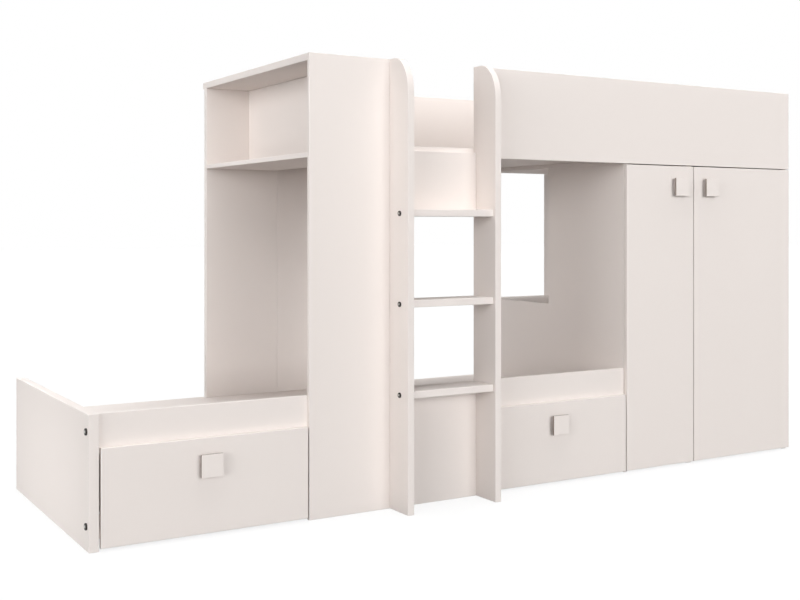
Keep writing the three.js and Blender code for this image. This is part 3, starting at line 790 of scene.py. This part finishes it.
def model_hinge_cup():
    """A flanged pot. Its flange stands on z = 0 and its ears are moved towards +X."""
    mouth = FLANGE_THICKNESS
    middle_z = (mouth - POT_DEPTH) / 2
    bpy.ops.mesh.primitive_cylinder_add(
        vertices=POT_SIDES, radius=POT_RADIUS, depth=POT_DEPTH + mouth, location=(0, 0, middle_z))
    pot = bpy.context.object
    bpy.ops.object.transform_apply(location=True, rotation=True, scale=True)
    edit(pot)
    select_faces(pot, lambda middle, normal: normal.z > SQUARE_TO)
    bpy.ops.mesh.inset(thickness=POT_WALL)
    sink = POT_WALL - POT_DEPTH - mouth
    bpy.ops.mesh.extrude_region_move(TRANSFORM_OT_translate={"value": (0, 0, sink)})
    bpy.ops.object.mode_set(mode="OBJECT")

    bpy.ops.mesh.primitive_cube_add(size=1, location=(EAR_SHIFT, 0, mouth / 2))
    ears = bpy.context.object
    ears.scale = (EAR_WIDTH, EAR_HEIGHT, mouth)
    bpy.ops.object.transform_apply(location=True, rotation=True, scale=True)
    edit(ears)
    bpy.ops.mesh.select_mode(type="EDGE")
    bpy.ops.object.mode_set(mode="OBJECT")
    corners = ears.data.vertices
    for edge in ears.data.edges:
        start, end = (corners[index].co for index in edge.vertices)
        edge.select = abs(start.z - end.z) > mouth / 2
    bpy.ops.object.mode_set(mode="EDIT")
    bpy.ops.mesh.bevel(offset=EAR_CORNER, segments=EAR_CORNER_STEPS)
    bpy.ops.object.mode_set(mode="OBJECT")
    bpy.ops.mesh.primitive_cylinder_add(
        vertices=POT_SIDES, radius=RIM_RADIUS, depth=mouth, location=(0, 0, mouth / 2))
    rim = bpy.context.object
    merge = ears.modifiers.new("merge", "BOOLEAN")
    merge.operation = "UNION"
    merge.object = rim
    merge.solver = "EXACT"
    bpy.context.view_layer.objects.active = ears
    bpy.ops.object.modifier_apply(modifier=merge.name)
    bpy.data.objects.remove(rim)
    bpy.ops.mesh.primitive_cylinder_add(vertices=POT_SIDES, radius=POT_RADIUS, depth=4 * mouth)
    cut_away(ears, bpy.context.object)

    bpy.ops.object.select_all(action="DESELECT")
    ears.select_set(True)
    pot.select_set(True)
    bpy.context.view_layer.objects.active = pot
    bpy.ops.object.join()
    return pot


cup_pattern = model_hinge_cup()
for side, hinge_side, way, turn in (("left", 0, 1, 0), ("right", 1, -1, math.pi)):
    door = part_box(f"door_{side}")
    cup_x = door[hinge_side][0] + way * CUP_INSET
    flange_y = door[1][1]
    for place in ("low", "high"):
        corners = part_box(f"hinge_{side}_{place}")
        middle_z = (corners[0][2] + corners[1][2]) / 2
        cup = cup_pattern.copy()
        cup.data = cup_pattern.data.copy()
        cup.name = f"door_{side}_cup_{place}"
        bpy.context.collection.objects.link(cup)
        cup.location = (cup_x, flange_y, middle_z)
        cup.rotation_euler = (-math.pi / 2, turn, 0)
        settle(cup, HEAD_SHARP_ANGLE)
        cup.data.materials.clear()
        cup.data.materials.append(nickel)
        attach(cup, f"door_{side}")
        screw_x = cup_x + way * EAR_SHIFT
        spots = [((screw_x, flange_y + FLANGE_THICKNESS / 2, middle_z + rise), (0, 1, 0))
                 for rise in (-CUP_SCREW_RISE, CUP_SCREW_RISE)]
        name = f"door_{side}_cup_{place}_screws"
        fasten(name, screw_pattern, spots, WING_SCREW_RADIUS, f"door_{side}")
bpy.data.objects.remove(cup_pattern)


# Handle screws
# Two steel screws go through each front from behind into the handle's neck.
HANDLE_SCREW_RADIUS = 0.0036
HANDLE_SCREW_REACH = 0.0095

front_low, front_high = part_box("drawer_left_front")
front_thickness = front_high[1] - front_low[1]
for body in HANDLED_BODIES:
    low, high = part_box(f"{body}_handle")
    board_back = high[1] + front_thickness
    middle_x = (low[0] + high[0]) / 2
    middle_z = (low[2] + high[2]) / 2
    spots = [((middle_x, board_back, middle_z + rise), (0, 1, 0))
             for rise in (-HANDLE_SCREW_REACH, HANDLE_SCREW_REACH)]
    fasten(f"{body}_handle_screws", screw_pattern, spots, HANDLE_SCREW_RADIUS, body)


# Drawer runners
# Bent steel strips in white powder coat, slightly pebbled. Each is screwed to the wall of its bay
# in three places, and its roller turns on a small steel axle.
RUNNER_SCREW_RADIUS = 0.0024
RUNNER_STEEL = 0.0012
RUNNER_SCREW_SHARES = (0.14, 0.52, 0.90)
AXLE_RADIUS = 0.0015
ROLLER_SETBACK = 0.014
ROLLER_FACE = 0.0102
COAT_WHITE = (0.80, 0.79, 0.775, 1)
COAT_SHADE = (0.78, 0.77, 0.755, 1)
# Lighter than the coat: a painted highlight along the strips' rims.
COAT_EDGE_PAINTED_HIGHLIGHT = (0.84, 0.83, 0.815, 1)

coated_steel = surface("white_powder_coat", melamine_film, {
    "Face Colour": COAT_WHITE,
    "Shade Colour": COAT_SHADE,
    "Edge Colour": COAT_EDGE_PAINTED_HIGHLIGHT,
    "Grain Size": 0.0005,
    "Grain Height": 0.16,
    "Face Roughness": 0.34,
    "Edge Radius": 0.0004,
})
finish_nodes(coated_steel, "runner_left_a", "runner_left_b", "runner_right_a", "runner_right_b")

for runner, wall_side, way in (
    ("runner_left_a", 0, 1), ("runner_left_b", 1, -1),
    ("runner_right_a", 0, 1), ("runner_right_b", 1, -1),
):
    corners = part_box(runner)
    wall_x = corners[wall_side][0]
    front_y, back_y = corners[0][1], corners[1][1]
    middle_z = (corners[0][2] + corners[1][2]) / 2
    web_x = wall_x + way * RUNNER_STEEL
    spots = [((web_x, front_y + (back_y - front_y) * share, middle_z), (way, 0, 0))
             for share in RUNNER_SCREW_SHARES]
    fasten(f"{runner}_screws", screw_pattern, spots, RUNNER_SCREW_RADIUS, "frame")
    spots = [((wall_x + way * ROLLER_FACE, front_y + ROLLER_SETBACK, middle_z), (way, 0, 0))]
    fasten(f"{runner}_axle", screw_pattern, spots, AXLE_RADIUS, "frame")


# Screws of the hanging rail's sockets
# Each socket is held to its panel by two screws beside the oval tube.
SOCKET_SCREW_RADIUS = 0.0032
SOCKET_SCREW_REACH = 0.0165
SOCKET_LENGTH = 0.012

low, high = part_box("hanging_rail")
rail_y = (low[1] + high[1]) / 2
rail_z = (low[2] + high[2]) / 2
socket_faces = (("left", low[0] + SOCKET_LENGTH, 1), ("right", high[0] - SOCKET_LENGTH, -1))
for side, face_x, way in socket_faces:
    spots = [((face_x, rail_y + reach, rail_z), (way, 0, 0))
             for reach in (-SOCKET_SCREW_REACH, SOCKET_SCREW_REACH)]
    name = f"hanging_rail_{side}_screws"
    fasten(name, screw_pattern, spots, SOCKET_SCREW_RADIUS, "frame")
bpy.data.objects.remove(screw_pattern)


# Shelf pins
# Four nickel-plated steel pins with a collar, two in each side of the narrow cupboard, carry its
# shelf.
PIN_SIDES = 24
PIN_RADIUS = 0.0025
PIN_LENGTH_SHARE = 3.4
PIN_COLLAR_SHARE = 1.7
PIN_COLLAR_DEPTH_SHARE = 0.5
PIN_SOFTNESS_SHARE = 0.16
PIN_SOFT_STEPS = 2
PIN_SETBACK = 0.037


def model_shelf_pin():
    """A pin of radius 1 that stands on z = 0, with a collar at its foot and a soft end."""
    foot = PIN_COLLAR_DEPTH_SHARE
    bpy.ops.mesh.primitive_cylinder_add(
        vertices=PIN_SIDES, radius=PIN_COLLAR_SHARE, depth=foot, location=(0, 0, foot / 2))
    pin = bpy.context.object
    bpy.ops.object.transform_apply(location=True, rotation=True, scale=True)
    edit(pin)
    select_faces(pin, lambda middle, normal: normal.z > SQUARE_TO)
    bpy.ops.mesh.inset(thickness=PIN_COLLAR_SHARE - 1)
    reach = PIN_LENGTH_SHARE - foot
    bpy.ops.mesh.extrude_region_move(TRANSFORM_OT_translate={"value": (0, 0, reach)})
    bpy.ops.object.mode_set(mode="OBJECT")
    bevel(pin, PIN_SOFTNESS_SHARE, PIN_SOFT_STEPS)
    pin.data.materials.append(nickel)
    return pin


pin_pattern = model_shelf_pin()
shelf_low, shelf_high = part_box("cupboard_shelf")
pin_z = shelf_low[2] - PIN_COLLAR_SHARE * PIN_RADIUS
spots = []
for pin_x, way in ((shelf_low[0], 1), (shelf_high[0], -1)):
    for pin_y in (shelf_low[1] + PIN_SETBACK, shelf_high[1] - PIN_SETBACK):
        spots.append(((pin_x, pin_y, pin_z), (way, 0, 0)))
fasten("cupboard_shelf_pins", pin_pattern, spots, PIN_RADIUS, "frame")
bpy.data.objects.remove(pin_pattern)


# Door bumpers
# Small soft plastic domes, stuck on the doors' inner faces, where they close against the divider
# and the wardrobe's floor.
BUMPER_SIDES = 24
BUMPER_RINGS = 12
BUMPER_RADIUS = 0.0045
BUMPER_DOME_SHARE = 0.60
BUMPER_HEIGHT_SHARE = 0.48
BUMPER_SETBACK = 0.009
LEFT_BUMPER_END = 0.060
RIGHT_BUMPER_REACHES = (0.060, 0.180)
BUMPER_GREY = (0.60, 0.58, 0.55, 1)
BUMPER_GREY_SHADE = (0.56, 0.54, 0.51, 1)

soft_plastic = surface("soft_plastic", melamine_film, {
    "Face Colour": BUMPER_GREY,
    "Shade Colour": BUMPER_GREY_SHADE,
    "Edge Colour": BUMPER_GREY,
    "Grain Size": 0.0004,
    "Grain Height": 0.04,
    "Face Roughness": 0.42,
    "Edge Roughness": 0.42,
    "Edge Radius": 0.0003,
})


def model_bumper():
    """A low dome of radius 1 that stands on z = 0, with a flattened top."""
    bpy.ops.mesh.primitive_uv_sphere_add(segments=BUMPER_SIDES, ring_count=BUMPER_RINGS, radius=1)
    dome = bpy.context.object
    edit(dome)
    bpy.ops.mesh.select_all(action="SELECT")
    bpy.ops.transform.resize(value=(1, 1, BUMPER_DOME_SHARE), center_override=(0, 0, 0))
    bpy.ops.mesh.bisect(plane_co=(0, 0, 0), plane_no=(0, 0, 1), use_fill=True, clear_inner=True)
    bpy.ops.mesh.select_all(action="SELECT")
    bpy.ops.mesh.bisect(
        plane_co=(0, 0, BUMPER_HEIGHT_SHARE), plane_no=(0, 0, 1), use_fill=True, clear_outer=True)
    bpy.ops.object.mode_set(mode="OBJECT")
    dome.data.materials.append(soft_plastic)
    return dome


bumper_pattern = model_bumper()
left_low, left_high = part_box("door_left")
right_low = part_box("door_right")[0]
door_back = front_high[1]
floor_low, floor_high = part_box("wardrobe_floor")
divider_x = left_high[0] - BUMPER_SETBACK
spots = [((divider_x, door_back, height), (0, 1, 0))
         for height in (left_low[2] + LEFT_BUMPER_END, left_high[2] - LEFT_BUMPER_END)]
fasten("door_left_bumpers", bumper_pattern, spots, BUMPER_RADIUS, "door_left")
floor_z = (floor_low[2] + floor_high[2]) / 2
spots = [((right_low[0] + reach, door_back, floor_z), (0, 1, 0))
         for reach in RIGHT_BUMPER_REACHES]
fasten("door_right_bumpers", bumper_pattern, spots, BUMPER_RADIUS, "door_right")
bpy.data.objects.remove(bumper_pattern)
